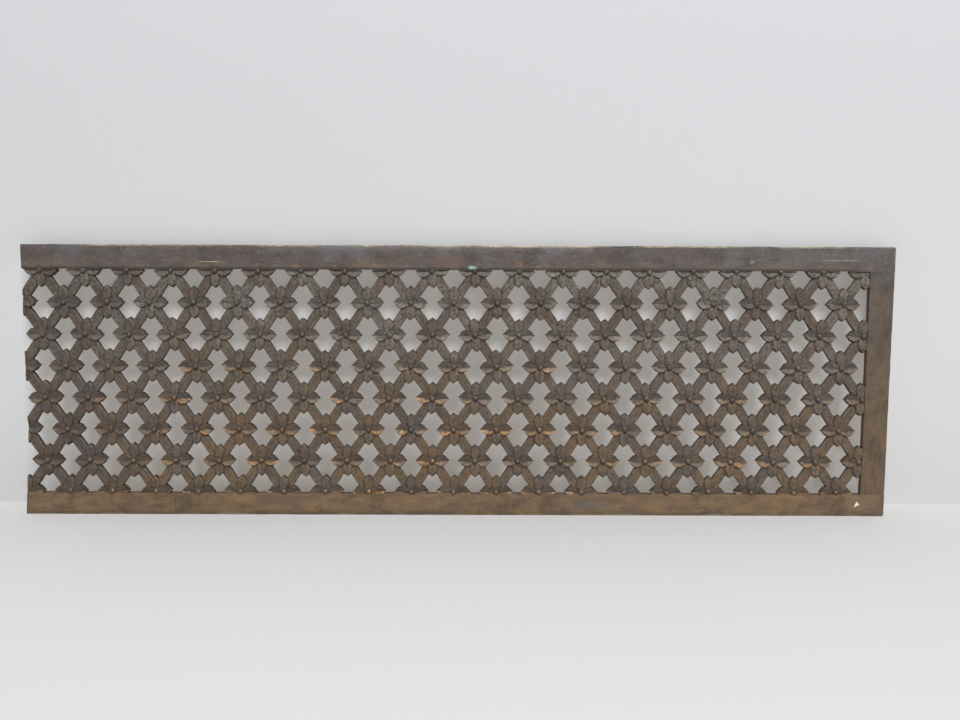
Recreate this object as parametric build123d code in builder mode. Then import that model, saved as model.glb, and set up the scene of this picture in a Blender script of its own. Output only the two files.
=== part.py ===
from build123d import *
import os

# A pierced brass grille panel: a flat border on three sides, and a diagonal lattice that carries
# a four-petal rosette with a domed boss on every crossing. The fourth end, at -X, is sawn through
# the lattice. The real panel is one casting; each element of its pattern is a node here.
#
# Frame: +X along the length, +Z up, the front faces -Y, origin under the middle of the bottom edge.
# Depths are measured from the flat back, towards the front. Everything is in millimetres.

# Border
panel_length = 650.0
panel_height = 203.0
top_rail_width = 18.0
bottom_rail_width = 16.5
stile_width = 18.0
corner_radius = 1.8
edge_chamfer = 0.5

# Lattice: crossings lie on a grid of half columns and rows, on every second point of it
half_column = 16.1
row_pitch = 23.8
last_column = 38
last_row = 7
stile_gap = 2.6
bottom_gap = 1.1
bar_width = 7.0

# The sawn end leans outwards below its knee
cut_top_in = 4.3
cut_knee_in = 3.7
cut_knee_height = 61.0

# Depths from the back
web_depth = 3.5
hub_depth = 4.3
valley_depth = 4.0
rim_depth = 4.8
border_depth = 5.0
boss_depth = 6.4

# Rosette
waist = 1.9
hub_radius = 2.6
boss_radius = 2.35
boss_wall = 0.3
side_reach = 12.3
upright_reach = 12.8
side_half_width = 4.5
upright_half_width = 3.9

# Worked out from those
right_x = panel_length / 2
left_x = -panel_length / 2
stile_x = right_x - stile_width
field_bottom = bottom_rail_width
field_top = panel_height - top_rail_width
back_y = boss_depth / 2
back_plane = Plane.XZ.offset(-back_y)


def column_x(column):
    """X of a half column, counted from 0 at the first whole rosette of the even rows."""
    return stile_x - stile_gap - (last_column - column) * half_column


def row_z(row):
    """Z of a row, counted from 0 along the top rail to last_row along the bottom rail."""
    return field_bottom + bottom_gap + (last_row - row) * row_pitch


def crossing_columns(row):
    """The half columns that have a whole rosette in this row."""
    return range(row % 2, last_column, 2)


def crossing(column, row):
    """The crossing's place on the back plane, turned so that a piece drawn flat faces the front."""
    return Location((column_x(column), back_y, row_z(row)), (90, 0, 0))


def petal_outline(flank, shoulder, tip_side, reach):
    """One petal along +X: two arcs a side, from the waist over the shoulder to a pointed tip."""
    with BuildSketch() as outline:
        with BuildLine():
            Line((0, 0), (waist, waist))
            ThreePointArc((waist, waist), flank, shoulder)
            ThreePointArc(shoulder, tip_side, (reach, 0))
            mirror(about=Plane.XZ)
        make_face()
    return outline.sketch


def relief_petal(outline, half_width, reach, edge_depth, middle_depth):
    """The petal standing on the web, with a front that slopes from both edges to the middle line."""
    with BuildPart() as petal:
        with BuildSketch(Plane.XY.offset(web_depth)):
            add(outline)
        extrude(amount=border_depth - web_depth)
        with BuildSketch(Plane.YZ):
            Polygon(
                (-half_width, web_depth),
                (half_width, web_depth),
                (half_width, edge_depth),
                (0, middle_depth),
                (-half_width, edge_depth),
                align=None,
            )
        extrude(amount=reach, mode=Mode.INTERSECT)
    return petal.part


def write(part, label):
    """Labels a finished piece and writes its STEP file."""
    part.label = label
    export_step(part, f"parts/{label}.step")


os.makedirs("parts", exist_ok=True)

# The side petals are leaves with a wide shoulder; the upright ones are narrower and rounder.
side_outline = petal_outline((4.6, 3.8), (8.0, side_half_width), (10.6, 2.9), side_reach)
upright_outline = petal_outline((4.6, 3.3), (8.4, upright_half_width), (11.6, 2.9), upright_reach)

with BuildSketch() as rosette_outline:
    for turn in (0, 180):
        add(side_outline, rotation=turn)
        add(upright_outline, rotation=turn + 90)

# One opening of the lattice: the rhombus between four bars, less the petals that reach into it.
bar_run = (half_column**2 + row_pitch**2) ** 0.5
bar_share = 1 - bar_width / 2 * bar_run / (half_column * row_pitch)
opening_half_width = half_column * bar_share
opening_half_height = row_pitch * bar_share

with BuildSketch() as opening:
    with BuildLine():
        Polyline(
            (-opening_half_width, 0),
            (0, opening_half_height),
            (opening_half_width, 0),
            (0, -opening_half_height),
            close=True,
        )
    make_face()
    with Locations((-half_column, 0), (half_column, 0), (0, -row_pitch), (0, row_pitch)):
        add(rosette_outline.sketch, mode=Mode.SUBTRACT)

# The panel's outline, and the field of it that the border leaves to the lattice.
with BuildSketch() as panel:
    with BuildLine():
        Polyline(
            (left_x + cut_top_in, panel_height),
            (right_x, panel_height),
            (right_x, 0),
            (left_x, 0),
            (left_x + cut_knee_in, cut_knee_height),
            close=True,
        )
    make_face()
    fillet(panel.vertices().group_by(Axis.X)[-1], corner_radius)

with BuildSketch() as field:
    add(panel.sketch)
    with Locations((left_x, field_bottom)):
        Rectangle(
            stile_x - left_x,
            field_top - field_bottom,
            align=(Align.MIN, Align.MIN),
            mode=Mode.INTERSECT,
        )

# Border: two rails that run the whole length, and the stile between them.
with BuildPart() as top_rail:
    with BuildSketch(back_plane):
        add(panel.sketch)
        with Locations((0, field_top)):
            Rectangle(panel_length, top_rail_width, align=(Align.CENTER, Align.MIN), mode=Mode.INTERSECT)
    extrude(amount=border_depth)
    chamfer(top_rail.faces().sort_by(Axis.Y)[0].edges().sort_by(Axis.Z)[-1], edge_chamfer)
write(top_rail.part, "top_rail")

with BuildPart() as bottom_rail:
    with BuildSketch(back_plane):
        add(panel.sketch)
        Rectangle(
            panel_length,
            bottom_rail_width,
            align=(Align.CENTER, Align.MIN),
            mode=Mode.INTERSECT,
        )
    extrude(amount=border_depth)
    chamfer(bottom_rail.faces().sort_by(Axis.Y)[0].edges().sort_by(Axis.Z)[0], edge_chamfer)
write(bottom_rail.part, "bottom_rail")

with BuildPart() as right_stile:
    with BuildSketch(back_plane):
        with Locations((stile_x, field_bottom)):
            Rectangle(stile_width, field_top - field_bottom, align=(Align.MIN, Align.MIN))
    extrude(amount=border_depth)
write(right_stile.part, "right_stile")

# Lattice: one pierced plate. An opening lies on every grid point that has no crossing.
opening_centres = [
    (column_x(column), row_z(row))
    for row in range(last_row + 1)
    for column in range(-1, last_column + 1)
    if (column + row) % 2
]

with BuildSketch() as web_outline:
    add(field.sketch)
    with Locations(*opening_centres):
        add(opening.sketch, mode=Mode.SUBTRACT)

with BuildPart() as lattice_web:
    with BuildSketch(back_plane):
        add(web_outline.sketch)
    extrude(amount=web_depth)
write(lattice_web.part, "lattice_web")

# Rosette relief: side petals hollowed to a valley, upright petals crowned, and a flat hub between.
side_petal = relief_petal(side_outline, side_half_width, side_reach, rim_depth, valley_depth)
upright_petal = relief_petal(upright_outline, upright_half_width, upright_reach, valley_depth, rim_depth)

with BuildPart() as rosette:
    for turn in (0, 180):
        add(side_petal, rotation=(0, 0, turn))
        add(upright_petal, rotation=(0, 0, turn + 90))
    with BuildSketch(Plane.XY.offset(hub_depth)):
        Circle(hub_radius)
    extrude(amount=boss_depth - hub_depth, mode=Mode.SUBTRACT)
    with BuildSketch(Plane.XY.offset(web_depth)):
        Circle(hub_radius)
    extrude(amount=hub_depth - web_depth)

for row in range(1, last_row):
    with BuildPart() as rosettes:
        with Locations(*[crossing(column, row) for column in crossing_columns(row)]):
            add(rosette.part)
    write(rosettes.part, f"rosettes_row_{row}")

# Rosettes that the border or the saw cut takes a part of.
edge_rosettes = {
    "half_rosettes_top": [(column, 0) for column in range(0, last_column + 1, 2)],
    "half_rosettes_bottom": [(column, last_row) for column in range(-1, last_column, 2)],
    "half_rosettes_right": [(last_column, row) for row in range(2, last_row, 2)],
    "cut_rosettes_left": [(-1, row) for row in range(1, last_row, 2)],
}

for label, places in edge_rosettes.items():
    with BuildPart() as part_rosettes:
        with Locations(*[crossing(column, row) for column, row in places]):
            add(rosette.part)
        with BuildSketch(back_plane):
            add(field.sketch)
        extrude(amount=boss_depth, mode=Mode.INTERSECT)
    write(part_rosettes.part, label)

# Bosses: a low domed stud on the hub of each rosette.
with BuildPart() as boss:
    with BuildSketch(Plane.XZ):
        with BuildLine():
            Line((0, hub_depth), (boss_radius, hub_depth))
            Line((boss_radius, hub_depth), (boss_radius, hub_depth + boss_wall))
            TangentArc((0, boss_depth), (boss_radius, hub_depth + boss_wall), tangent=(1, 0))
            Line((0, boss_depth), (0, hub_depth))
        make_face()
    revolve(axis=Axis.Z)

for row in range(1, last_row):
    columns = list(crossing_columns(row))
    if row % 2 == 0:
        columns.append(last_column)
    with BuildPart() as bosses:
        with Locations(*[crossing(column, row) for column in columns]):
            add(boss.part)
    write(bosses.part, f"bosses_row_{row}")

# Those along the rails sit half on the rail's edge, so the rail is cut out of them.
edge_bosses = {
    "bosses_top": [(column, 0) for column in range(0, last_column, 2)],
    "bosses_bottom": [(column, last_row) for column in range(1, last_column, 2)],
}

for label, places in edge_bosses.items():
    with BuildPart() as rail_bosses:
        with Locations(*[crossing(column, row) for column, row in places]):
            add(boss.part)
        add(top_rail.part, mode=Mode.SUBTRACT)
        add(bottom_rail.part, mode=Mode.SUBTRACT)
    write(rail_bosses.part, label)
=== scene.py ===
# %% [markdown]
# # A pierced cast brass grille panel
# The object is a flat panel for a floor or wall vent. A plain border runs along three sides, and a diagonal
# lattice of channelled bars fills the rest. Each crossing carries a rosette of four petals with a domed boss.
# The fourth end is sawn through the lattice. The whole panel is one old casting with a brown patina that is
# rubbed to gold where it has been handled.
#
# This lesson models each element once, as the founder's pattern maker would, and then repeats it. The CAD
# model gives every place and size, so the script starts by loading it.

# %% Load the frame
import math
import random

import bmesh
import bpy
from mathutils import Matrix, Vector


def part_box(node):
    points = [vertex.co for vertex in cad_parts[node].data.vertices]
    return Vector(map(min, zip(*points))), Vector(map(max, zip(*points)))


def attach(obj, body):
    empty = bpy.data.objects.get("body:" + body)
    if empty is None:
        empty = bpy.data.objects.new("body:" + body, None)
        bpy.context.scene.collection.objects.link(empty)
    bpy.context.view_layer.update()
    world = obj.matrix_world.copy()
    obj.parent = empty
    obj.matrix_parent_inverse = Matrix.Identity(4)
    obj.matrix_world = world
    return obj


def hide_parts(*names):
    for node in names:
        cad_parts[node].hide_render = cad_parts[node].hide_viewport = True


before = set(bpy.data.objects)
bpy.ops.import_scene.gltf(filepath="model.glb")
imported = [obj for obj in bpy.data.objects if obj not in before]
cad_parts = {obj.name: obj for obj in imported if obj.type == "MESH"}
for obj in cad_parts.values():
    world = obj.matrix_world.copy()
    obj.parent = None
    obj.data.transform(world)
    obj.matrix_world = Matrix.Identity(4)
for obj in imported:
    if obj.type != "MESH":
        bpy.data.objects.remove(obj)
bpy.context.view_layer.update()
random.seed(7)

# %% [markdown]
# ## Reading the lattice from the frame
# The crossings lie on a grid of half columns and rows, like the black squares of a chess board. The bosses
# sit on the crossings, so the boxes of two boss rows give the whole grid. The pitches could be typed in, but
# working from the boxes keeps every piece on its CAD node.

# %% The grid of crossings
MM = 0.001
LAST_COLUMN = 38
LAST_ROW = 7
ROWS_1_TO_6 = 5
HALF_COLUMNS_IN_ROW_1 = 36

top_low, top_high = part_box("top_rail")
bottom_low, bottom_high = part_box("bottom_rail")
stile_low, stile_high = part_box("right_stile")
first_low, first_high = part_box("bosses_row_1")
sixth_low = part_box("bosses_row_6")[0]

back_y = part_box("lattice_web")[1].y
boss_radius = (first_high.z - first_low.z) / 2
row_pitch = (first_low.z - sixth_low.z) / ROWS_1_TO_6
half_column = (first_high.x - first_low.x - 2 * boss_radius) / HALF_COLUMNS_IN_ROW_1
bar_reach = math.hypot(half_column, row_pitch) / 2


def depth(millimetres):
    """The Y of a plane that stands this far in front of the flat back."""
    return back_y - millimetres * MM


def crossing(column, row):
    """The middle of a crossing, on the plane Y = 0."""
    x = first_low.x + boss_radius + (column - 1) * half_column
    z = first_low.z + boss_radius - (row - 1) * row_pitch
    return Vector((x, 0, z))


def columns_of(row, start=0):
    """The half columns that hold a crossing in this row."""
    return [c for c in range(start, LAST_COLUMN + 1) if (c + row) % 2 == 0]


print("half column", round(half_column / MM, 2), "row", round(row_pitch / MM, 2), "mm")

# %% [markdown]
# ## Tools of the bench
# Every operator works on what is selected, so each piece starts by deselecting the rest. The vertices of
# each piece could be written out as lists. Picking them by their place and moving them with Blender's own
# operators instead is how one would model by hand, and each step can be followed. These helpers do that.

# %% Selecting and editing
def only(piece):
    """Make this piece the one selected and active object."""
    bpy.ops.object.select_all(action="DESELECT")
    piece.select_set(True)
    bpy.context.view_layer.objects.active = piece


def edit(piece):
    """Open one piece in edit mode."""
    only(piece)
    bpy.ops.object.mode_set(mode="EDIT")


def close():
    """Leave edit mode."""
    bpy.ops.object.mode_set(mode="OBJECT")


def pick(piece, test):
    """Select the vertices whose place passes the test, and the edges and faces between them."""
    bpy.ops.mesh.select_mode(type="VERT")
    mesh = bmesh.from_edit_mesh(piece.data)
    for vertex in mesh.verts:
        vertex.select = bool(test(vertex.co))
    mesh.select_flush_mode()
    bmesh.update_edit_mesh(piece.data)


def pick_faces(piece, test):
    """Select the faces whose middle and normal pass the test."""
    bpy.ops.mesh.select_mode(type="FACE")
    mesh = bmesh.from_edit_mesh(piece.data)
    for face in mesh.faces:
        face.select = bool(test(face.calc_center_median(), face.normal))
    mesh.select_flush_mode()
    bmesh.update_edit_mesh(piece.data)


def near(a, b, gap=0.02 * MM):
    """True if two lengths are the same to a fiftieth of a millimetre."""
    return abs(a - b) < gap


def cut(piece, point, normal, keep_inner=False):
    """Bisect the whole piece with a plane; with keep_inner, drop what lies past it and close the cut."""
    bpy.ops.mesh.select_all(action="SELECT")
    bpy.ops.mesh.bisect(
        plane_co=point,
        plane_no=normal,
        clear_outer=keep_inner,
        use_fill=keep_inner,
        threshold=0.001 * MM,
    )


def apply_modifier(piece, kind, **settings):
    """Add a modifier with these settings and apply it at once."""
    only(piece)
    modifier = piece.modifiers.new(kind.lower(), kind)
    for name, value in settings.items():
        setattr(modifier, name, value)
    bpy.ops.object.modifier_apply(modifier=modifier.name)


def copy_at(master, name, matrix):
    """A copy of a piece with its own mesh, with the placement put into the mesh."""
    piece = master.copy()
    piece.data = master.data.copy()
    piece.name = name
    piece.data.transform(matrix)
    bpy.context.collection.objects.link(piece)
    return piece


def join(pieces, name):
    """Join several pieces into one."""
    bpy.ops.object.select_all(action="DESELECT")
    for piece in pieces:
        piece.select_set(True)
    bpy.context.view_layer.objects.active = pieces[0]
    if len(pieces) > 1:
        bpy.ops.object.join()
    pieces[0].name = name
    pieces[0].data.name = name
    return pieces[0]


def unite(piece, other):
    """Fuse another closed shape into this one, so that no wall is left inside."""
    apply_modifier(piece, "BOOLEAN", operation="UNION", solver="EXACT", object=other)
    bpy.data.objects.remove(other)


def count(piece):
    """Print how many faces a piece has."""
    print(piece.name, len(piece.data.polygons), "faces")


# %% [markdown]
# ## One crossing of the lattice
# The bars are cast with a hint of a channel along the middle, so that each catches the light on a thin rim
# at either side. They could be swept along one long path each, but then the places where they cross would
# have to be cleaned up by hand. Instead a bar starts as a cube of its own size. Bisecting it along the
# channel and across its length gives lines to move: the middle line goes back, and the outer arrises are
# eased. Two bars fused at the right angle are one crossing, which the whole lattice repeats.

# %% A channelled bar
# A depth is how many millimetres a plane or a line stands in front of the flat back.
BAR_WIDTH = 7.0 * MM
BAR_RIM = 2.9 * MM
RIM_DEPTH = 3.65
ARRIS_DEPTH = 3.2
CHANNEL_DEPTH = 3.35
BAR_STEPS = 8

bpy.ops.object.select_all(action="DESELECT")
bpy.ops.mesh.primitive_cube_add(
    size=1,
    location=(0, (back_y + depth(RIM_DEPTH)) / 2, 0),
    scale=(BAR_WIDTH, RIM_DEPTH * MM, 2 * bar_reach),
)
bar = bpy.context.object
bar.name = "bar"
bpy.ops.object.transform_apply(location=True, rotation=True, scale=True)

edit(bar)
for step in range(1, BAR_STEPS):
    cut(bar, (0, 0, (2 * step / BAR_STEPS - 1) * bar_reach), (0, 0, 1))
for x in (-BAR_RIM, 0, BAR_RIM):
    cut(bar, (x, 0, 0), (1, 0, 0))
pick(bar, lambda p: near(p.y, depth(RIM_DEPTH)) and near(p.x, 0))
bpy.ops.transform.translate(value=(0, depth(CHANNEL_DEPTH) - depth(RIM_DEPTH), 0))
pick(bar, lambda p: near(p.y, depth(RIM_DEPTH)) and abs(p.x) > BAR_RIM + 0.1 * MM)
bpy.ops.transform.translate(value=(0, depth(ARRIS_DEPTH) - depth(RIM_DEPTH), 0))
close()
count(bar)

# %% Two bars make a crossing
END_SHARE = 0.98


def closes_a_bar(middle, normal):
    """True for the end faces of the bars, where the next crossing will carry on."""
    far = math.hypot(middle.x, middle.z) > END_SHARE * bar_reach
    return far and abs(normal.y) < 0.1 and abs(normal.z) > 0.7


lean = math.atan2(half_column, row_pitch)
crossing_unit = copy_at(bar, "crossing_unit", Matrix.Rotation(lean, 4, "Y"))
other_bar = copy_at(bar, "other_bar", Matrix.Rotation(-lean, 4, "Y"))
unite(crossing_unit, other_bar)
bpy.data.objects.remove(bar)

edit(crossing_unit)
pick_faces(crossing_unit, closes_a_bar)
bpy.ops.mesh.delete(type="FACE")
close()
count(crossing_unit)

# %% [markdown]
# ## Petals
# A petal is a leaf seen from above: narrow at the boss, widest past its middle, and pointed at the tip. It
# could be sculpted from a ball. A small grid is the better start, because its columns can be scaled one by
# one to the leaf's width, its lines can be raised and lowered like a relief in wax, and few faces are needed
# for a shape that is repeated six hundred times. Extruding the grid back gives the petal its full depth. The
# side petals are hollowed to a valley between two rims. The upright ones are rounder, with a crown on each
# side of a fine vein.

# %% A petal from a grid
ACROSS = (-1, -0.84, -0.42, 0, 0.42, 0.84, 1)
PETAL_BACK = 0.1
PETAL_MIDDLE = 4.4


def make_petal(name, stations, profile):
    """A petal along +X. Each station is (distance from the middle, half width, share of the relief, lift) in
    mm, and profile is the front's depth on the lines across the petal where the relief is full."""
    bpy.ops.object.select_all(action="DESELECT")
    bpy.ops.mesh.primitive_grid_add(
        x_subdivisions=len(stations) - 1,
        y_subdivisions=len(ACROSS) - 1,
        size=2 * MM,
        rotation=(math.pi / 2, 0, 0),
    )
    petal = bpy.context.object
    petal.name = name
    bpy.ops.object.transform_apply(location=True, rotation=True, scale=True)
    edit(petal)

    # Slide the grid's even lines across to their own places, the outermost last.
    lines = len(ACROSS) - 1
    for index in range(lines + 1):
        start = (2 * index / lines - 1) * MM
        pick(petal, lambda p: near(p.y, 0) and near(p.z, start))
        front = depth(profile[index])
        bpy.ops.transform.translate(value=(0, front, ACROSS[index] * MM - start))

    # Slide each column along to its station, then open or close it to the leaf's width there.
    columns = len(stations) - 1
    for index in reversed(range(columns + 1)):
        start = (2 * index / columns - 1) * MM
        reach, half_width, relief, lift = stations[index]
        pick(petal, lambda p: near(p.x, start))
        bpy.ops.transform.resize(value=(1, relief, half_width), center_override=(0, depth(PETAL_MIDDLE), 0))
        bpy.ops.transform.translate(value=(reach * MM - start, -lift * MM, 0))

    # Extrude the leaf well past the back, flatten what was extruded onto one plane, and make it one face.
    bpy.ops.mesh.select_all(action="SELECT")
    bpy.ops.mesh.extrude_region_move(TRANSFORM_OT_translate={"value": (0, 10 * MM, 0)})
    bpy.ops.transform.resize(value=(1, 0, 1), center_override=(0, depth(PETAL_BACK), 0))
    bpy.ops.mesh.dissolve_faces()
    bpy.ops.mesh.select_all(action="SELECT")
    bpy.ops.mesh.remove_doubles(threshold=0.01 * MM)
    bpy.ops.mesh.normals_make_consistent(inside=False)
    close()
    count(petal)
    return petal


side_petal = make_petal(
    "side_petal",
    stations=(
        (0.2, 1.2, 0.2, -0.1),
        (2.4, 2.6, 0.35, -0.1),
        (4.6, 4.05, 0.8, 0.0),
        (6.7, 4.5, 1.0, 0.1),
        (8.6, 4.1, 0.85, 0.1),
        (10.1, 2.9, 0.6, 0.0),
        (11.3, 1.3, 0.3, -0.1),
        (12.7, 0.0, 0.1, -0.3),
    ),
    profile=(4.0, 4.95, 4.35, 3.65, 4.35, 4.95, 4.0),
)
upright_petal = make_petal(
    "upright_petal",
    stations=(
        (0.2, 1.2, 0.3, -0.2),
        (2.4, 2.5, 0.5, -0.2),
        (4.6, 3.5, 0.9, 0.0),
        (6.6, 3.85, 1.0, 0.0),
        (8.6, 3.75, 1.0, 0.05),
        (10.3, 2.85, 0.9, 0.0),
        (11.5, 1.4, 0.6, -0.1),
        (12.6, 0.0, 0.2, -0.3),
    ),
    profile=(3.8, 4.5, 4.95, 4.45, 4.95, 4.5, 3.8),
)

# %% [markdown]
# ## Rosette and boss
# Four petals meet under the boss. They could lie loose over each other, but fusing them keeps one clean skin,
# with creases where they cross. The boss is a small stud: a sphere flattened to a dome, cut off at its seat,
# and drawn in a little at the foot, so that it stands out from the petals. Turning a profile on a lathe would
# give the same dome, with a seam to close.

# %% Fuse the petals
def turned(master, name, degrees):
    """A copy turned about the line of sight."""
    return copy_at(master, name, Matrix.Rotation(math.radians(degrees), 4, "Y"))


rosette = turned(side_petal, "rosette", 0)
unite(rosette, turned(side_petal, "left_petal", 180))
unite(rosette, turned(upright_petal, "upper_petal", 90))
unite(rosette, turned(upright_petal, "lower_petal", -90))
bpy.data.objects.remove(side_petal)
bpy.data.objects.remove(upright_petal)
count(rosette)

# %% The domed boss
BOSS_TOP = 6.4
BOSS_RADIUS = 2.2 * MM
BOSS_SEAT = 4.2
BOSS_FOOT = 3.6
BOSS_FOOT_SHARE = 0.8

bpy.ops.object.select_all(action="DESELECT")
bpy.ops.mesh.primitive_uv_sphere_add(
    segments=12,
    ring_count=8,
    radius=BOSS_RADIUS,
    rotation=(math.pi / 2, 0, 0),
    location=(0, depth(BOSS_SEAT), 0),
    scale=(1, 1, (BOSS_TOP - BOSS_SEAT) * MM / BOSS_RADIUS),
)
boss = bpy.context.object
boss.name = "boss"
bpy.ops.object.transform_apply(location=True, rotation=True, scale=True)
edit(boss)
cut(boss, (0, depth(BOSS_SEAT), 0), (0, 1, 0), keep_inner=True)
pick_faces(boss, lambda middle, normal: normal.y > 0.9 and near(middle.y, depth(BOSS_SEAT)))
bpy.ops.mesh.extrude_region_move(TRANSFORM_OT_translate={"value": (0, (BOSS_SEAT - BOSS_FOOT) * MM, 0)})
bpy.ops.transform.resize(value=(BOSS_FOOT_SHARE, 1, BOSS_FOOT_SHARE), center_override=(0, 0, 0))
close()
count(boss)

# %% [markdown]
# ## Where the saw went
# The panel was cut out of a longer one. The saw ran almost upright down to a knee, and below that the cut
# leans outwards. The rails and the stile also hide part of the outer rosettes. Boolean cuts would do, but a
# bisect with the same plane trims whatever reaches past it, closes the cut, and adds no other faces.

# %% Saw and rail planes
KNEE_HEIGHT = 61 * MM
KNEE_IN = 3.7 * MM
SEATED = 0.4 * MM

knee = Vector((bottom_low.x + KNEE_IN, 0, KNEE_HEIGHT))
upper_run = Vector((top_low.x, 0, top_high.z)) - knee
lower_run = knee - Vector((bottom_low.x, 0, 0))


def saw(piece, row):
    """Trim a piece of this row to the sawn end."""
    run = upper_run if crossing(0, row).z > KNEE_HEIGHT else lower_run
    cut(piece, knee, Vector((-run.z, 0, run.x)), keep_inner=True)


def trim(piece, column, row, seat=SEATED):
    """Trim a piece on this crossing to the sawn end and to just inside the border."""
    edit(piece)
    if column < 1:
        saw(piece, row)
    if row == 0:
        cut(piece, (0, 0, top_low.z + seat), (0, 0, 1), keep_inner=True)
    if row == LAST_ROW:
        cut(piece, (0, 0, bottom_high.z - seat), (0, 0, -1), keep_inner=True)
    if column == LAST_COLUMN:
        cut(piece, (stile_low.x + seat, 0, 0), (1, 0, 0), keep_inner=True)
    close()


# %% [markdown]
# ## The surface of an old casting
# Sand casting leaves nothing quite straight. One soft vector noise, the same for every piece, bends the bars
# and edges by a few tenths of a millimetre, and the plain border by about half as much. Sculpting would do
# this by hand, piece by piece. The noise depends only on the place, so neighbours that touch move together
# and no gap opens. The Displace modifier reads it from a colour cloud texture.

# %% Cast waviness
SLOW_SIZE, SLOW_PUSH = 14 * MM, 0.9 * MM
QUICK_SIZE, QUICK_PUSH = 3.5 * MM, 0.5 * MM
BORDER_SHARE = 0.55
CREASE_ANGLE = 38


def cloud(name, size):
    """A colour cloud whose three channels push along X, Y and Z."""
    texture = bpy.data.textures.new(name, "CLOUDS")
    texture.cloud_type = "COLOR"
    texture.noise_scale = size
    texture.noise_depth = 1
    return texture


slow_wave = cloud("slow_wave", SLOW_SIZE)
quick_wave = cloud("quick_wave", QUICK_SIZE)


def weather(piece, share=1.0):
    """Bend a piece by a share of the casting's waviness, and shade it smooth but for its arrises."""
    for texture, push in ((slow_wave, SLOW_PUSH), (quick_wave, QUICK_PUSH)):
        apply_modifier(
            piece,
            "DISPLACE",
            texture=texture,
            direction="RGB_TO_XYZ",
            texture_coords="LOCAL",
            mid_level=0.5,
            strength=push * share,
        )
    only(piece)
    bpy.ops.object.shade_smooth_by_angle(angle=math.radians(CREASE_ANGLE))
    count(piece)


# %% [markdown]
# ## The channelled lattice
# The lattice is one net of bars between the rails. An array modifier would repeat the crossing, but the
# crossings at the edges have to be trimmed one by one. So every crossing gets its own copy of the two bars.
# The open ends of neighbours meet halfway, and merging doubles welds them into one net.

# %% Lay the bars
WELD = 0.02 * MM

crossings = []
for row in range(LAST_ROW + 1):
    for column in columns_of(row, start=-1):
        piece = copy_at(crossing_unit, "bars", Matrix.Translation(crossing(column, row)))
        if column < 1 or column == LAST_COLUMN or row in (0, LAST_ROW):
            trim(piece, column, row)
        crossings.append(piece)
lattice = join(crossings, "channelled_lattice")
edit(lattice)
bpy.ops.mesh.select_all(action="SELECT")
bpy.ops.mesh.remove_doubles(threshold=WELD)
close()
weather(lattice)
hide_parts("lattice_web")
bpy.data.objects.remove(crossing_unit)

# %% [markdown]
# ## Rows of rosettes and bosses
# No two rosettes came out of the sand alike. They could all be linked to one mesh, but then they would be
# alike. Each copy is turned, tilted and scaled by a little, always in the same order from one seed, and each
# row is joined into the piece that stands for its CAD node. The studs are laid in the same way, turned
# further, because they are round.

# %% Rosettes
ROSETTE_WOBBLE = (math.radians(2.6), math.radians(0.5), 0.04)
BOSS_WOBBLE = (math.radians(20), math.radians(3), 0.06)


def varied(master, name, column, row, wobble):
    """A copy on a crossing, with its own small turn, tilt and size."""
    turn, tilt, growth = wobble
    to_back = Matrix.Translation((0, back_y, 0))
    lie = Matrix.Rotation(random.gauss(0, tilt), 4, "X") @ Matrix.Rotation(random.gauss(0, tilt), 4, "Z")
    spin = Matrix.Rotation(random.gauss(0, turn), 4, "Y")
    size = 1 + random.uniform(-growth, growth)
    swell = Matrix.Diagonal((size, 1, size, 1))
    place = Matrix.Translation(crossing(column, row))
    return copy_at(master, name, place @ to_back @ lie @ spin @ swell @ to_back.inverted())


def lay(master, name, places, node, wobble):
    """Put copies on these crossings, trim those at an edge, and join them into one piece."""
    laid = []
    for column, row in places:
        piece = varied(master, f"{name}_part", column, row, wobble)
        if column < 0 or column == LAST_COLUMN or row in (0, LAST_ROW):
            trim(piece, column, row)
        laid.append(piece)
    made = join(laid, name)
    weather(made)
    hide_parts(node)
    return made


rosettes = []
for row in range(1, LAST_ROW):
    places = [(column, row) for column in columns_of(row) if column < LAST_COLUMN]
    rosettes.append(lay(rosette, f"rosette_relief_{row}", places, f"rosettes_row_{row}", ROSETTE_WOBBLE))
edge_rows = {
    "half_rosettes_top": [(column, 0) for column in columns_of(0)],
    "half_rosettes_bottom": [(column, LAST_ROW) for column in columns_of(LAST_ROW, start=-1)],
    "half_rosettes_right": [(LAST_COLUMN, row) for row in (2, 4, 6)],
    "cut_rosettes_left": [(-1, row) for row in (1, 3, 5)],
}
for node, places in edge_rows.items():
    rosettes.append(lay(rosette, node.replace("rosettes", "relief"), places, node, ROSETTE_WOBBLE))
bpy.data.objects.remove(rosette)

# %% Bosses
studs = []
for row in range(1, LAST_ROW):
    places = [(column, row) for column in columns_of(row)]
    studs.append(lay(boss, f"boss_studs_{row}", places, f"bosses_row_{row}", BOSS_WOBBLE))
top_places = [(column, 0) for column in columns_of(0) if column < LAST_COLUMN]
bottom_places = [(column, LAST_ROW) for column in columns_of(LAST_ROW)]
studs.append(lay(boss, "boss_studs_top", top_places, "bosses_top", BOSS_WOBBLE))
studs.append(lay(boss, "boss_studs_bottom", bottom_places, "bosses_bottom", BOSS_WOBBLE))
bpy.data.objects.remove(boss)

# %% [markdown]
# ## The plain border
# The rails and the stile are flat strips with square inner edges. They could be drawn as one outline and
# extruded, but each is a node of its own in the CAD. So a cube of the node's own box is bisected into short
# lengths, which lets the waviness bend it, and its outer arrises are bevelled, because these have been
# knocked and rubbed. The rails' outer corners are rounded first.

# %% Strips of the border
STEP = 6 * MM
CORNER, CORNER_SEGMENTS = 1.8 * MM, 4
ARRIS, ARRIS_SEGMENTS = 0.55 * MM, 2


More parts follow.
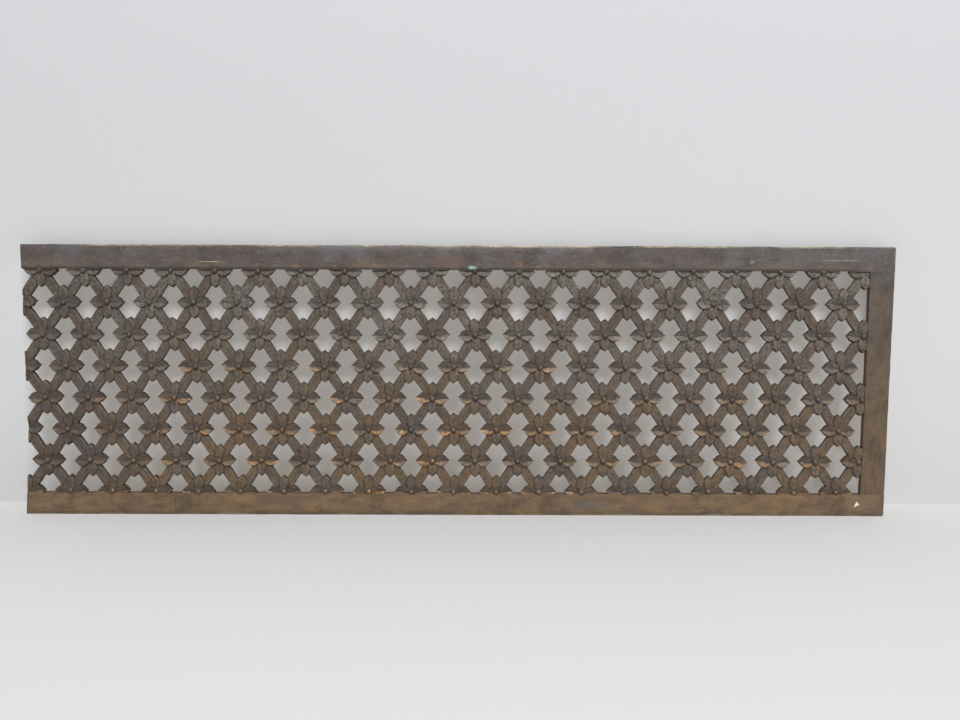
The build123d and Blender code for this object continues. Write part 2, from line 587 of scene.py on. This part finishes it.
def make_strip(name, low, high):
    """A plain strip that fills a box."""
    bpy.ops.object.select_all(action="DESELECT")
    bpy.ops.mesh.primitive_cube_add(size=1, location=(low + high) / 2, scale=high - low)
    strip = bpy.context.object
    strip.name = name
    bpy.ops.object.transform_apply(location=True, rotation=True, scale=True)
    return strip


def cross_cuts(strip, low, high, axis):
    """Bisect a strip into short lengths along X (0) or Z (2)."""
    normal = Vector((0, 0, 0))
    normal[axis] = 1
    steps = max(2, round((high[axis] - low[axis]) / STEP))
    for index in range(1, steps):
        point = low.lerp(high, index / steps)
        cut(strip, point, normal)


def bevel_where(strip, test, width, segments):
    """Bevel the edges whose two ends pass the test."""
    bpy.ops.mesh.select_mode(type="EDGE")
    mesh = bmesh.from_edit_mesh(strip.data)
    for edge in mesh.edges:
        edge.select = all(test(vertex.co) for vertex in edge.verts)
    bmesh.update_edit_mesh(strip.data)
    bpy.ops.mesh.bevel(offset=width, offset_type="OFFSET", segments=segments, affect="EDGES")


def finish_strip(strip, low, high, outer_z, node):
    """Round a rail's outer corner, ease the outer arris, cut the strip up and saw a rail's open end. The
    stile has no outer_z."""
    edit(strip)
    is_rail = outer_z is not None
    if is_rail:
        bevel_where(strip, lambda p: near(p.x, high.x) and near(p.z, outer_z), CORNER, CORNER_SEGMENTS)
        bevel_where(strip, lambda p: near(p.y, low.y) and near(p.z, outer_z), ARRIS, ARRIS_SEGMENTS)
    else:
        bevel_where(strip, lambda p: near(p.y, low.y) and near(p.x, high.x), ARRIS, ARRIS_SEGMENTS)
    cross_cuts(strip, low, high, 0)
    cross_cuts(strip, low, high, 2)
    if is_rail:
        saw(strip, 0 if outer_z > KNEE_HEIGHT else LAST_ROW)
    close()
    weather(strip, BORDER_SHARE)
    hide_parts(node)
    return strip


border = []
top_start = Vector((bottom_low.x, top_low.y, top_low.z))
strip = make_strip("top_border", top_start, top_high)
border.append(finish_strip(strip, top_low, top_high, top_high.z, "top_rail"))
strip = make_strip("bottom_border", bottom_low, bottom_high)
border.append(finish_strip(strip, bottom_low, bottom_high, bottom_low.z, "bottom_rail"))
strip = make_strip("end_border", stile_low, stile_high)
border.append(finish_strip(strip, stile_low, stile_high, None, "right_stile"))

# %% [markdown]
# ## A recipe for old brass
# The patina is a brown skin over brass. It is greyer and scaly towards the top and more golden towards the
# bottom, where it was handled. It could be painted onto a UV map, but the same few causes act everywhere, so
# it is worked out from Object coordinates, in metres, and stays on the piece from every side. Depth in front
# of the back tells the shader what stands proud and gets rubbed. The normal tells it what faces up, which
# gets wear and a painted highlight, and what faces down or into an opening, which gets painted shade. The
# grid of crossings gives each point its place about its own boss: soot and painted shade lie in a ring there
# and along each petal's groove.

# %% Short calls for shader nodes
class Recipe:
    """One material's node tree."""

    def __init__(self, name):
        self.material = bpy.data.materials.new(name)
        self.material.use_nodes = True
        self.tree = self.material.node_tree
        self.shader = self.tree.nodes["Principled BSDF"]
        self.place = self.add("ShaderNodeTexCoord").outputs["Object"]
        split = self.add("ShaderNodeSeparateXYZ", {"Vector": self.place})
        self.x, self.y, self.z = split.outputs
        facing = self.add("ShaderNodeNewGeometry").outputs["Normal"]
        facing = self.add("ShaderNodeSeparateXYZ", {"Vector": facing})
        self.up = facing.outputs["Z"]
        self.wall = self.ramp(self.math("ABSOLUTE", facing.outputs["Y"]), 0.5, 0.2)

    def add(self, kind, inputs=None, **settings):
        """A node with its settings, its inputs linked or set."""
        node = self.tree.nodes.new(kind)
        for name, value in settings.items():
            setattr(node, name, value)
        for name, value in (inputs or {}).items():
            self.feed(node.inputs[name], value)
        return node

    def feed(self, socket, value):
        """Link an output to this socket, or set the socket to a plain value."""
        if isinstance(value, bpy.types.NodeSocket):
            self.tree.links.new(value, socket)
        else:
            socket.default_value = value

    def math(self, operation, *values):
        """One step of arithmetic."""
        node = self.add("ShaderNodeMath", operation=operation)
        for socket, value in zip(node.inputs, values):
            self.feed(socket, value)
        return node.outputs["Value"]

    def times(self, *values):
        """The product of several masks."""
        product = values[0]
        for value in values[1:]:
            product = self.math("MULTIPLY", product, value)
        return product

    def most(self, *values):
        """The highest of several masks."""
        highest = values[0]
        for value in values[1:]:
            highest = self.math("MAXIMUM", highest, value)
        return highest

    def less(self, mask, share):
        """Full outside a mask, and weaker by this share inside it."""
        return self.math("MULTIPLY_ADD", mask, -share, 1.0)

    def length(self, a, b):
        """The length of two distances at right angles."""
        return self.math("SQRT", self.math("ADD", self.times(a, a), self.times(b, b)))

    def ramp(self, value, low, high, to_low=0.0, to_high=1.0):
        """A smooth step of a value from low to high."""
        inputs = {"Value": value, "From Min": low, "From Max": high, "To Min": to_low, "To Max": to_high}
        return self.add("ShaderNodeMapRange", inputs, interpolation_type="SMOOTHSTEP").outputs["Result"]

    def blend(self, share, under, over):
        """Lay one colour over another by a share."""
        node = self.add("ShaderNodeMix", data_type="RGBA")
        self.feed(node.inputs["Factor"], share)
        for socket, colour in ((node.inputs["A"], under), (node.inputs["B"], over)):
            self.feed(socket, colour if isinstance(colour, bpy.types.NodeSocket) else (*colour, 1))
        return node.outputs["Result"]

    def noise(self, size, detail=3.0, roughness=0.55, stretch=(1, 1, 1)):
        """A noise whose blotches are about this many millimetres across."""
        place = self.place
        if stretch != (1, 1, 1):
            place = self.add("ShaderNodeMapping", {"Vector": place, "Scale": stretch}).outputs["Vector"]
        settings = {"Vector": place, "Scale": 1 / (size * MM), "Detail": detail, "Roughness": roughness}
        return self.add("ShaderNodeTexNoise", settings).outputs["Fac"]

    def blotches(self, size, low, high, **texture):
        """A mask of a noise of this size: none where it is below low, full where it is above high."""
        return self.ramp(self.noise(size, **texture), low, high)

    def band(self, value, middle, half_width):
        """A mask that is full where a length is at this value, and gone half a width away."""
        gap = self.math("ABSOLUTE", self.math("SUBTRACT", value, middle))
        return self.ramp(gap, half_width, half_width * 0.4)

    def spot(self, x, z, width, height, edge):
        """An oval mask about a place on the front, its size in mm; a high edge makes it sharp."""
        sideways = self.math("MULTIPLY_ADD", self.x, 2 / (width * MM), -2 * x / (width * MM))
        upwards = self.math("MULTIPLY_ADD", self.z, 2 / (height * MM), -2 * z / (height * MM))
        ragged = self.math("MULTIPLY_ADD", self.noise(2.5), 1.2, -0.6)
        gap = self.math("ADD", self.length(sideways, upwards), ragged)
        return self.ramp(gap, 1.0, edge)

    def flake(self, x, z, size, sides):
        """A straight-edged mask about a place: each side is the direction, in degrees, that it faces."""
        masks = []
        for angle in sides:
            across, up = math.cos(math.radians(angle)), math.sin(math.radians(angle))
            reach = self.math("MULTIPLY_ADD", self.x, across, -across * x - up * z)
            reach = self.math("MULTIPLY_ADD", self.z, up, reach)
            masks.append(self.ramp(reach, size * MM, size * 0.75 * MM))
        return self.times(*masks)

    def cell(self):
        """How far a point lies sideways and upwards from the crossing that it belongs to, in mm."""
        first = crossing(1, 1)
        columns = self.math("MULTIPLY_ADD", self.x, 1 / half_column, -first.x / half_column)
        rows = self.math("MULTIPLY_ADD", self.z, -1 / row_pitch, first.z / row_pitch)
        rising = self.times(self.math("ADD", columns, rows), 0.5)
        falling = self.times(self.math("SUBTRACT", columns, rows), 0.5)
        rising = self.math("SUBTRACT", rising, self.math("ROUND", rising))
        falling = self.math("SUBTRACT", falling, self.math("ROUND", falling))
        sideways = self.times(self.math("ADD", rising, falling), half_column / MM)
        upwards = self.times(self.math("SUBTRACT", falling, rising), row_pitch / MM)
        return sideways, upwards


# %% [markdown]
# ## Colours and zones
# Old brass isn't one colour. Its skin runs from umber to olive, its border from mauve to honey, and it shows
# gold only where it was handled. The colours could be picked piece by piece, but one short list keeps the
# pieces alike. The zones are the heights and lengths, in metres, over which a colour comes in: the casting is
# warmer towards its foot, scaly and dull towards its top, and dark at its sawn end.

# %% Colours
UMBER = (0.078, 0.063, 0.051)
BROWN = (0.137, 0.103, 0.080)
MAUVE = (0.125, 0.104, 0.097)
DEEP_MAUVE = (0.088, 0.069, 0.062)
OLIVE = (0.178, 0.117, 0.066)
TAWNY = (0.148, 0.104, 0.071)
HONEY = (0.262, 0.168, 0.087)
TAN = (0.270, 0.190, 0.128)
GOLD = (0.560, 0.310, 0.110)
PALE_GOLD = (0.480, 0.420, 0.280)
DUST = (0.330, 0.310, 0.285)
SCALE = (0.265, 0.255, 0.215)
# Soot; the same dark also paints the shade in walls, undersides and crevices, and along the top rail's inner
# edge.
SOOT_AND_SHADE = (0.035, 0.028, 0.024)
RUST = (0.340, 0.150, 0.060)
RUSSET = (0.165, 0.088, 0.064)
VERDIGRIS = (0.380, 0.520, 0.440)
SLATE = (0.140, 0.138, 0.142)
# A dark red brown that paints the shade on the border's inner walls.
OXBLOOD_SHADE = (0.062, 0.034, 0.030)
PAINT = (0.800, 0.800, 0.780)

# %% Zones
LATTICE_WARMS = (0.185, 0.03)
BORDER_WARMS = (0.19, 0.02)
SCALE_RISES = (0.06, 0.17)
DULLNESS_RISES = (0.08, 0.17)
SHADE_RISES = (0.01, 0.09)
SPECKS_RISE = (0.1, 0.17)
HANDS_REACH = (0.2, -0.04)
SAWN_END_DARKENS = (-0.19, -0.29)

# %% [markdown]
# ## Cast grain
# Sand leaves a fine grain on a casting, and larger pits. The grain is far too fine to model, so it goes into
# the bump, and it makes the gloss uneven. Worn places are smoother and more metallic than the brown skin.

# %% Grain and gloss
def finish_brass(recipe, colour, gloss, fine, pits):
    """Connect the colour, and give the skin its cast grain as bump and as uneven gloss."""
    shader = recipe.shader
    recipe.feed(shader.inputs["Base Color"], colour)
    recipe.feed(shader.inputs["Metallic"], recipe.ramp(gloss, 0.0, 1.0, 0.35, 0.8))
    rough = recipe.math("MULTIPLY_ADD", recipe.noise(1.8), 0.22, 0.42)
    recipe.feed(shader.inputs["Roughness"], recipe.math("MULTIPLY_ADD", gloss, -0.12, rough))
    grain = recipe.times(recipe.noise(0.9, detail=4.0), fine)
    grain = recipe.math("ADD", grain, recipe.times(recipe.noise(4.5), pits))
    bump = recipe.add("ShaderNodeBump", {"Height": grain, "Strength": 0.8, "Distance": 0.35 * MM})
    recipe.feed(shader.inputs["Normal"], bump.outputs["Normal"])


# %% [markdown]
# ## The patina of the lattice
# Bars, rosettes and bosses share one patina, laid in coats as it grew: the brown skin, the wear, the scale,
# the grain and the soot; a painted highlight and painted shade go over these. Three recipes written one by
# one could be tuned freely, but the skin would change from piece to piece. One function with a few knobs
# gives each its own wear on a skin that runs through.

# %% Soot and painted shade
def soot_and_shade_on(recipe, sideways, upwards, shade, grooved):
    """Soot and painted shade: painted shade on the walls of the openings, on undersides and, by shade, over
    the whole piece, weaker near the foot; darker up-facing facets high up, a darker sawn end and, on a
    rosette, darker upper rims; and soot with painted shade in the ring about the boss and the groove along
    each petal."""
    walls = recipe.times(recipe.wall, 0.85)
    undersides = recipe.ramp(recipe.up, -0.05, -0.6, 0.0, 0.55)
    dull = recipe.times(recipe.ramp(recipe.up, 0.05, 0.35), recipe.ramp(recipe.z, *DULLNESS_RISES), 0.52)
    overall = recipe.ramp(recipe.z, *SHADE_RISES, shade / 4, shade)
    sawn_end = recipe.times(recipe.ramp(recipe.x, *SAWN_END_DARKENS), 0.3)
    soot_and_shade = recipe.most(walls, undersides, dull, overall, sawn_end)
    if grooved:
        radius = recipe.length(sideways, upwards)
        rims = recipe.times(recipe.ramp(recipe.up, 0.3, 0.6), recipe.ramp(upwards, 0.5, 1.5), 0.6)
        ring = recipe.times(recipe.ramp(radius, 4.0, 2.4), 0.4)
        valley = recipe.times(recipe.ramp(recipe.math("ABSOLUTE", upwards), 1.2, 0.2), 0.6)
        vein = recipe.times(recipe.ramp(recipe.math("ABSOLUTE", sideways), 0.8, 0.2), 0.2)
        groove = recipe.times(recipe.most(valley, vein), recipe.ramp(radius, 11.0, 6.5))
        soot_and_shade = recipe.most(soot_and_shade, rims, ring, groove)
    soot_and_shade = recipe.times(soot_and_shade, recipe.ramp(recipe.noise(4.0), 0.15, 0.5, 0.6, 1.0))
    return recipe.math("MINIMUM", soot_and_shade, 0.92)


# %% Wear and painted highlight
def wear_and_highlight_on(recipe, upwards, rub_from, rub_to, facet_wear_and_highlight, grooved):
    """Wear where it stands proud, and wear with a painted highlight on facets that face up; petals only
    on their lower half, which faces the light.
    """
    proud = recipe.math("MULTIPLY_ADD", recipe.y, -1 / MM, back_y / MM)
    rubbed = recipe.ramp(proud, rub_from, rub_to)
    facets = recipe.times(recipe.ramp(recipe.up, 0.1, 0.35), facet_wear_and_highlight)
    wear_and_highlight = recipe.most(rubbed, facets)
    if grooved:
        wear_and_highlight = recipe.times(wear_and_highlight, recipe.ramp(upwards, 1.0, 0.0))
    return wear_and_highlight


# %% The coats of the lattice
def lattice_patina(name, rub_from, rub_to, facet_wear_and_highlight, gilt, shade, grooved):
    """Rubbed where it stands between two depths, in mm, and rubbed with a painted highlight on facets that
    face up by a share, golden there by gilt, and with painted shade over all of it by shade."""
    recipe = Recipe(name)
    low_share = recipe.ramp(recipe.z, *LATTICE_WARMS)
    sawn_end = recipe.ramp(recipe.x, *SAWN_END_DARKENS)
    sideways, upwards = recipe.cell()

    # The skin: brown, mottled, and warmer towards the bottom.
    mottle = recipe.blotches(9.0, 0.3, 0.7, detail=4.0, roughness=0.65)
    colour = recipe.blend(mottle, UMBER, BROWN)
    warm = recipe.times(low_share, recipe.blotches(30.0, 0.3, 0.65), 0.85, recipe.less(sawn_end, 0.5))
    colour = recipe.blend(warm, colour, OLIVE)
    lilac = recipe.times(recipe.blotches(38.0, 0.5, 0.62, detail=2.0), 0.6)
    colour = recipe.blend(lilac, colour, MAUVE)

    # The wear, with a painted highlight on facets that face up: a little tan wherever it rubs, and gold in
    # patches within reach of hands.
    wear_and_highlight = wear_and_highlight_on(recipe, upwards, rub_from, rub_to, facet_wear_and_highlight, grooved)
    colour = recipe.blend(recipe.times(wear_and_highlight, 0.1), colour, TAN)
    patches = recipe.blotches(26.0, 0.41, 0.6, roughness=0.65)
    spotty = recipe.blotches(3.2, 0.32, 0.55)
    handled = recipe.times(recipe.ramp(recipe.x, *HANDS_REACH, 0.5, 1.0), recipe.less(sawn_end, 0.6))
    low_wear = recipe.math("MULTIPLY_ADD", low_share, 0.9, 0.1)
    wear_and_highlight = recipe.times(wear_and_highlight, patches, spotty, handled, low_wear)
    colour = recipe.blend(recipe.times(wear_and_highlight, gilt), colour, GOLD)

    # The scale: pale grains, in patches, on the upper rows.
    scale_patch = recipe.blotches(34.0, 0.38, 0.62)
    grains = recipe.blotches(1.7, 0.45, 0.56, detail=5.0, roughness=0.7)
    scaly = recipe.times(grains, scale_patch, recipe.ramp(recipe.z, *SCALE_RISES), 0.75)
    colour = recipe.blend(scaly, colour, SCALE)

    # The grain: dark pits and paler tops all over, then the soot and painted shade.
    sand = recipe.noise(2.4, detail=5.0, roughness=0.7)
    colour = recipe.blend(recipe.times(recipe.ramp(sand, 0.5, 0.38), 0.55), colour, SOOT_AND_SHADE)
    colour = recipe.blend(recipe.times(recipe.ramp(sand, 0.52, 0.64), 0.3), colour, TAN)
    colour = recipe.blend(soot_and_shade_on(recipe, sideways, upwards, shade, grooved), colour, SOOT_AND_SHADE)
    finish_brass(recipe, colour, wear_and_highlight, fine=0.6, pits=0.9)
    return recipe.material


# Shade is painted shade over the whole piece, weaker near the foot; the bosses, which stand out into the
# light, take the most.
lattice_brass = lattice_patina("lattice_brass", 3.2, 3.7, 0.2, gilt=0.2, shade=0.24, grooved=False)
rosette_brass = lattice_patina("rosette_brass", 4.8, 5.3, 0.9, gilt=0.85, shade=0.12, grooved=True)
boss_brass = lattice_patina("boss_brass", 5.6, 6.4, 0.3, gilt=0.6, shade=0.42, grooved=False)
for material in (lattice_brass, rosette_brass, boss_brass):
    print(material.name, len(material.node_tree.nodes), "nodes")

# %% [markdown]
# ## The patina of the border
# The border is smoother than the lattice, because it was scraped and wiped along its length. A painted
# texture would need unwrapping and would blur close up. Noise that is drawn out along each strip stays sharp,
# at the cost of one material for the rails and one for the stile. The outer arrises are rubbed bright in
# runs, the inner walls take a dark red-brown painted shade, and a few stains are placed one by one.

# %% Skin and marks of the border
def border_skin(recipe, along, low_share):
    """Mauve with a slate sheen high up, honey low down and along the top rail's inner edge."""
    streak = recipe.blotches(5.5, 0.25, 0.75, detail=5.0, roughness=0.65, stretch=along)
    colour = recipe.blend(streak, DEEP_MAUVE, MAUVE)
    sheen = recipe.blotches(55.0, 0.5, 0.62, detail=4.0, roughness=0.6)
    colour = recipe.blend(recipe.times(sheen, 0.55), colour, SLATE)
    patch = recipe.blotches(45.0, 0.3, 0.75, roughness=0.6)
    inner = recipe.times(recipe.ramp(recipe.z, top_high.z - 7 * MM, top_low.z + 2 * MM), 0.6)
    share = recipe.math("MULTIPLY_ADD", low_share, 0.9, recipe.times(patch, inner))
    warm = recipe.blend(streak, TAWNY, HONEY)
    return recipe.blend(recipe.math("MINIMUM", share, 1.0), colour, warm)


def border_marks(recipe, colour, along, shade):
    """Drawn scratches, pits, sooty blotches and pale specks, and painted shade over all of it by shade."""
    scratches = recipe.noise(0.9, detail=2.0, stretch=[share**2 for share in along])
    colour = recipe.blend(recipe.times(recipe.ramp(scratches, 0.55, 0.75), 0.22), colour, DUST)
    colour = recipe.blend(recipe.times(recipe.ramp(scratches, 0.45, 0.25), 0.3), colour, SOOT_AND_SHADE)
    pits = recipe.blotches(1.7, 0.6, 0.72)
    colour = recipe.blend(recipe.times(pits, 0.35), colour, SOOT_AND_SHADE)
    sooty = recipe.blotches(22.0, 0.5, 0.62, detail=6.0, roughness=0.75)
    colour = recipe.blend(recipe.times(sooty, 0.36), colour, SOOT_AND_SHADE)
    specks = recipe.times(recipe.blotches(1.3, 0.68, 0.74, detail=1.0), recipe.ramp(recipe.z, *SPECKS_RISE))
    colour = recipe.blend(recipe.times(specks, 0.42), colour, DUST)
    return recipe.blend(shade, colour, SOOT_AND_SHADE)


# %% Edges and walls of the border
def border_edges(recipe, colour, along, low_share):
    """Arrises rubbed to bright metal in runs, a darker band above the foot, painted shadow along the top
    rail's inner edge, and dark red-brown painted shade on the inner walls.
    """
    top_edge = recipe.ramp(recipe.z, top_high.z - 1.6 * MM, top_high.z - 0.7 * MM)
    # A darker band just above the foot of the bottom rail.
    dark_foot_band = recipe.ramp(recipe.z, bottom_low.z + 3.2 * MM, bottom_low.z + 1.2 * MM)
    colour = recipe.blend(recipe.times(dark_foot_band, 0.4), colour, SOOT_AND_SHADE)
    bottom_edge = recipe.times(recipe.ramp(recipe.z, bottom_low.z + 2.2 * MM, bottom_low.z + 0.8 * MM), 0.5)
    end_edge = recipe.times(recipe.ramp(recipe.x, stile_high.x - 1.5 * MM, stile_high.x - 0.5 * MM), 0.15)
    edges = recipe.most(top_edge, bottom_edge, end_edge)
    runs = recipe.blotches(70.0, 0.4, 0.62, detail=5.0, roughness=0.75)
    nicks = recipe.ramp(recipe.noise(1.6), 0.35, 0.6, 0.45, 1.0)
    colour = recipe.blend(recipe.times(edges, runs, nicks, 0.8), colour, PALE_GOLD)
    gold_streaks = recipe.blotches(9.0, 0.5, 0.66, detail=6.0, roughness=0.75, stretch=along)
    colour = recipe.blend(recipe.times(low_share, gold_streaks, 0.14), colour, GOLD)

    # Painted shadow along the top rail's inner edge, where the rail stands proud of the lattice.
    painted_shadow_band = recipe.times(recipe.band(recipe.z, top_low.z, 2.2 * MM), recipe.ramp(recipe.x, stile_low.x, 0.29))
    colour = recipe.blend(recipe.times(painted_shadow_band, 0.7), colour, SOOT_AND_SHADE)
    end = recipe.ramp(recipe.x, stile_high.x - 4 * MM, stile_high.x - 2 * MM)
    foot = recipe.ramp(recipe.z, bottom_low.z + 4 * MM, bottom_low.z + 2 * MM)
    outside = recipe.most(end, top_edge, foot)
    # The inner walls take a dark red-brown painted shade.
    inside = recipe.times(recipe.wall, recipe.less(outside, 1.0), 0.85)
    return recipe.blend(inside, colour, OXBLOOD_SHADE)


# %% Stains of the border
# Each stain is x and z in metres, width and height in mm, sharpness, strength and colour. In turn: a green
# bloom, a rust mark, a russet tinge, a rust mark, a grey tide mark, a bright hair scratch, a dark one, a
# dusty streak and a dusty spot.
STAINS = (
    (0.012, 0.1868, 9, 3.6, 0.3, 0.75, VERDIGRIS),
    (-0.118, 0.1875, 9, 3, 0.3, 0.5, RUST),
    (-0.006, 0.1915, 50, 11, 0.0, 0.55, RUSSET),
    (0.048, 0.1900, 9, 4, 0.3, 0.25, RUST),
    (0.102, 0.0080, 44, 12, 0.2, 0.45, SLATE),
    (-0.1825, 0.1905, 22, 0.9, 0.5, 0.7, PALE_GOLD),
    (-0.212, 0.0080, 0.8, 16, 0.5, 0.6, SOOT_AND_SHADE),
    (0.285, 0.1930, 40, 1.8, 0.4, 0.4, DUST),
    (0.219, 0.1915, 4, 3, 0.4, 0.5, DUST),
)
# The chip is x and z in metres, its size in mm and the directions, in degrees, that its three sides face.
CHIP = (0.3045, 0.0092, 1.35, (45, 155, -65))


def border_stains(recipe, colour):
    """The stains, and a chip of white paint."""
    for x, z, width, height, edge, strength, stain in STAINS:
        mask = recipe.times(recipe.spot(x, z, width, height, edge), strength)
        colour = recipe.blend(mask, colour, stain)
    return recipe.blend(recipe.times(recipe.flake(*CHIP), 0.95), colour, PAINT)


def border_patina(name, along, shade):
    """The whole patina of a strip, drawn out along it."""
    recipe = Recipe(name)
    low_share = recipe.ramp(recipe.z, *BORDER_WARMS)
    colour = border_skin(recipe, along, low_share)
    colour = border_marks(recipe, colour, along, shade)
    colour = border_edges(recipe, colour, along, low_share)
    colour = border_stains(recipe, colour)
    finish_brass(recipe, colour, recipe.times(low_share, 0.3), fine=0.4, pits=0.6)
    return recipe.material


rail_brass = border_patina("rail_brass", along=(0.3, 1, 1), shade=0.07)
stile_brass = border_patina("stile_brass", along=(1, 1, 0.3), shade=0.36)
print("rails and stile", len(rail_brass.node_tree.nodes), "nodes each")

# %% [markdown]
# ## Dressing the pieces
# Each piece gets its material and its body, and the slot it stands for is printed. The whole panel is one
# casting, so every piece rides on the root. This could be written out piece by piece, but one helper forgets
# none of the steps.

# %% Materials and bodies
def dress(pieces, material, slot):
    """Give pieces their material and their body, and print the slot that they stand for."""
    for piece in pieces:
        piece.data.materials.clear()
        piece.data.materials.append(material)
        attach(piece, "root")
    print(slot, "on", len(pieces), "piece" if len(pieces) == 1 else "pieces")


dress([lattice], lattice_brass, "lattice_brass")
dress(rosettes, rosette_brass, "rosette_brass")
dress(studs, boss_brass, "boss_brass")
dress(border[:2], rail_brass, "border_brass")
dress(border[2:], stile_brass, "border_brass")

# %% [markdown]
# ## Camera, floor and wall
# The camera stands in front and looks down a little, as at a panel propped up on a table. The floor is plain
# and pale. The wall is close behind the panel at the top, so that the openings look onto a shaded surface,
# and curves back a little towards its foot, where a strip of floor shows beside the panel. A flat wall is
# simpler, but it would miss one or the other. The wall shows its front only: seen from behind it lets the
# view through to the panel's flat back.

# %% Camera
camera_data = bpy.data.cameras.new("camera")
camera_data.sensor_width = 36
camera_data.lens = 33.5
camera_data.clip_start = 0.01
camera = bpy.data.objects.new("camera", camera_data)
camera.location = (0.0161, -0.6653, 0.1826)
camera.rotation_euler = [math.radians(angle) for angle in (84.46, -0.21, -0.15)]
bpy.context.collection.objects.link(camera)
bpy.context.scene.camera = camera
print("lens", camera_data.lens, "mm, at", [round(v, 3) for v in camera.location])

# %% Floor and wall
STAGE_SIDE = 6
WALL_END = 0.53
WALL_STRIPS = 40
STRIP_HEIGHT = 0.015
GAP_AT_BASE = 0.034
GAP_AT_TOP = 0.006
GAP_CLOSES_OVER = 0.12
FLOOR_WHITE = (0.55, 0.55, 0.55, 1)
LOW_WALL_WHITE = (0.66, 0.662, 0.665)
HIGH_WALL_WHITE = (0.54, 0.545, 0.56)
WALL_DARKENS = (-0.05, 0.36)
MATT = 0.9


def floor_paint():
    """Plain matt white."""
    material = bpy.data.materials.new("floor_white")
    material.use_nodes = True
    shader = material.node_tree.nodes["Principled BSDF"]
    shader.inputs["Base Color"].default_value = FLOOR_WHITE
    shader.inputs["Roughness"].default_value = MATT
    return material


def wall_paint():
    """Matt white with painted light and shade, lighter at the foot and darker upwards to even out the
    lamps on it, and clear from behind.
    """
    recipe = Recipe("wall_white")
    paint = recipe.blend(recipe.ramp(recipe.z, *WALL_DARKENS), LOW_WALL_WHITE, HIGH_WALL_WHITE)
    recipe.feed(recipe.shader.inputs["Base Color"], paint)
    recipe.feed(recipe.shader.inputs["Roughness"], MATT)
    clear = recipe.add("ShaderNodeBsdfTransparent")
    mix = recipe.add("ShaderNodeMixShader")
    from_behind = recipe.add("ShaderNodeNewGeometry").outputs["Backfacing"]
    for socket, value in zip(mix.inputs, (from_behind, recipe.shader.outputs[0], clear.outputs[0])):
        recipe.feed(socket, value)
    recipe.feed(recipe.tree.nodes["Material Output"].inputs["Surface"], mix.outputs[0])
    return recipe.material


bpy.ops.object.select_all(action="DESELECT")
bpy.ops.mesh.primitive_plane_add(size=STAGE_SIDE)
floor = bpy.context.object
floor.name = "floor"
floor.data.materials.append(floor_paint())
bpy.ops.mesh.primitive_plane_add(
    size=STAGE_SIDE,
    location=(WALL_END - STAGE_SIDE / 2, 0, STAGE_SIDE / 2),
    rotation=(math.pi / 2, 0, 0),
)
wall = bpy.context.object
wall.name = "wall"
bpy.ops.object.transform_apply(location=True, rotation=True, scale=True)
edit(wall)
for strip_index in range(1, WALL_STRIPS):
    cut(wall, (0, 0, STRIP_HEIGHT * strip_index), (0, 0, 1))
close()
for vertex in wall.data.vertices:
    falls_back = (GAP_AT_BASE - GAP_AT_TOP) * math.exp(-vertex.co.z / GAP_CLOSES_OVER)
    vertex.co.y = GAP_AT_TOP + falls_back
bpy.ops.object.shade_smooth()
wall.data.materials.append(wall_paint())
count(wall)

# %% [markdown]
# ## Light
# One large softbox hangs overhead and a weak one fills in from the right. A thin, dim and faintly warm lamp
# between the panel and the wall stands in for the light that a paper backdrop scatters through the openings.
# The rear lamp is linked to the panel alone, so that it lights the back through the wall and nothing else.
# A bright world would light all of it at once, but it would flatten the relief.

# %% Lamps and world
PANEL_MIDDLE = (0, 0, 0.1)


def soft_light(name, place, aim, width, height, power):
    """A rectangular softbox that points at a place."""
    data = bpy.data.lights.new(name, "AREA")
    data.shape = "RECTANGLE"
    data.size, data.size_y = width, height
    data.energy = power
    light = bpy.data.objects.new(name, data)
    light.location = place
    light.rotation_euler = (Vector(aim) - Vector(place)).to_track_quat("-Z", "Y").to_euler()
    bpy.context.collection.objects.link(light)
    print(name, power, "W")
    return light


soft_light("overhead", (0.2, -1.7, 2.5), PANEL_MIDDLE, width=1.2, height=0.7, power=88)
soft_light("side_fill", (1.2, -1.2, 0.5), (0.4, 0, 0.1), width=1.0, height=0.6, power=2.5)
behind = soft_light("behind", (0, 0.0045, 0.1), (0, 1, 0.1), width=0.66, height=0.19, power=0.115)
behind.data.color = (1.0, 0.93, 0.84)
behind.visible_camera = False
behind.visible_glossy = False

rear = soft_light("rear", (-0.3, 1.4, 0.2), PANEL_MIDDLE, width=1.2, height=0.3, power=22)
rear.visible_glossy = False
panel = bpy.data.collections.new("panel_pieces")
for piece in (lattice, *rosettes, *studs, *border):
    panel.objects.link(piece)
rear.light_linking.receiver_collection = panel
rear.light_linking.blocker_collection = panel

world = bpy.data.worlds.new("studio")
world.use_nodes = True
world.node_tree.nodes["Background"].inputs["Color"].default_value = (1, 1, 1, 1)
world.node_tree.nodes["Background"].inputs["Strength"].default_value = 0.36
bpy.context.scene.world = world
bpy.context.scene.view_settings.view_transform = "Standard"
